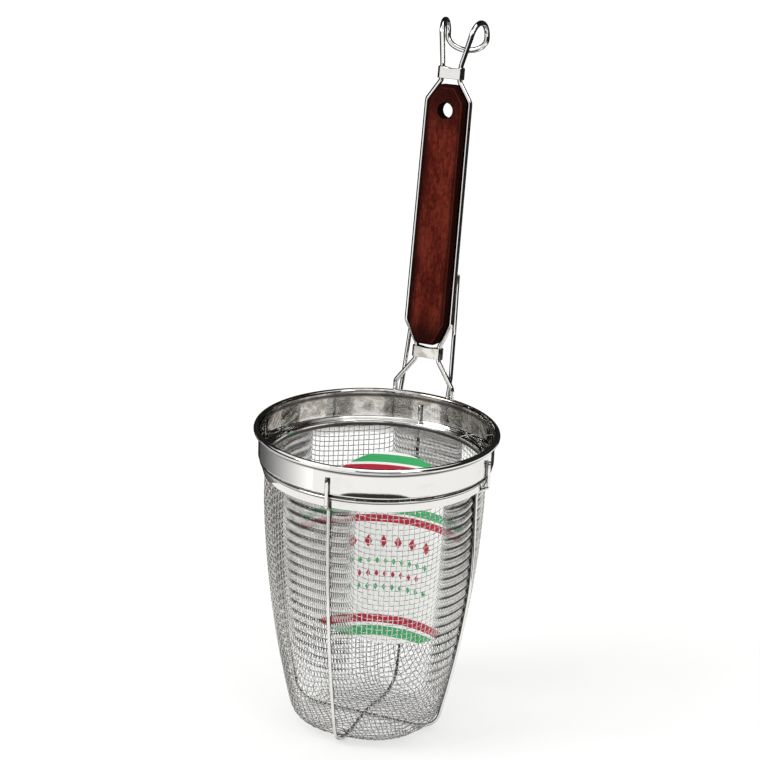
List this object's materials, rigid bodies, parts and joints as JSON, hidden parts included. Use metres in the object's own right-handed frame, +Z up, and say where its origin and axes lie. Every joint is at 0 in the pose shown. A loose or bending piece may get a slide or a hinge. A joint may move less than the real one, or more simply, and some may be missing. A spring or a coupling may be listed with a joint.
{
  "type": "noodle strainer",
  "caption": "Deep woven-wire noodle strainer cup in a rolled steel rim, with a bent wire handle, a wooden grip and a double hook for hanging over a pot's rim.",
  "frame": {"origin": "on the table, under the cup's axis, where the lower support wire rests", "axes": "+Z up along the cup's axis, +Y towards the handle, +X to the right as seen from in front of the cup"},
  "size_m": [0.14, 0.1862, 0.3985],
  "materials": {
    "polished_steel": "polished stainless steel",
    "woven_steel": "drawn stainless wire, woven",
    "lacquered_wood": "dark red-brown hardwood, lacquered",
    "printed_card": "white card with plain printed stripes"
  },
  "bodies": {
    "root": {"rim_band": "polished_steel", "rim_core_wire": "polished_steel", "clamp_ring": "polished_steel", "mesh_basket": "woven_steel", "support_wire_fore_aft": "polished_steel", "support_wire_cross": "polished_steel", "handle_wire": "polished_steel", "brace_wire_left": "polished_steel", "brace_wire_right": "polished_steel", "lower_ferrule": "polished_steel", "upper_ferrule": "polished_steel", "wood_grip": "lacquered_wood", "insert_card": "printed_card"}
  },
  "joints": []
}
